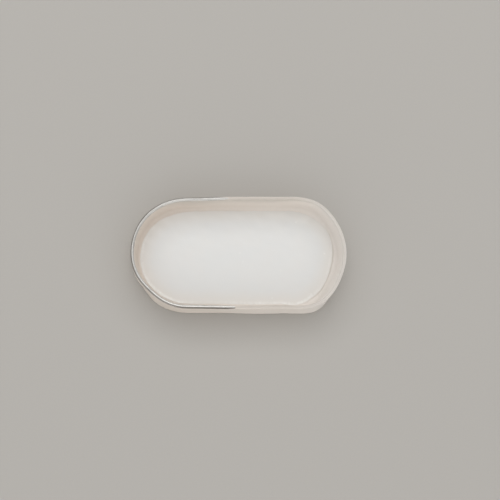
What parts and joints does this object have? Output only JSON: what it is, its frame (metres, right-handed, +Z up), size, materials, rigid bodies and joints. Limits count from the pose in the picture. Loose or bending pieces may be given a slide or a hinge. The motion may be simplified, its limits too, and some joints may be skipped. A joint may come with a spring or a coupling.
{
  "type": "accessory tray",
  "caption": "Hand-built porcelain accessory tray: a shallow racetrack dish with an upright wall and metal lustre brushed along half of its lip, for rings and small vanity things.",
  "frame": {"origin": "on the flat underside, in the middle of the racetrack outline", "axes": "+X along the tray, away from the half with the lustre; +Y towards the far long side; +Z up, out of the open top"},
  "size_m": [0.1606, 0.0855, 0.025],
  "materials": {
    "glazed_porcelain": "clear gloss glaze over white clay, bare under the foot",
    "metal_lustre": "bright silvery lustre, brushed on by hand and fired"
  },
  "bodies": {
    "root": {"floor_slab": "glazed_porcelain", "wall_strip": "glazed_porcelain", "corner_coil": "glazed_porcelain", "lustre_band": "metal_lustre"}
  },
  "joints": []
}
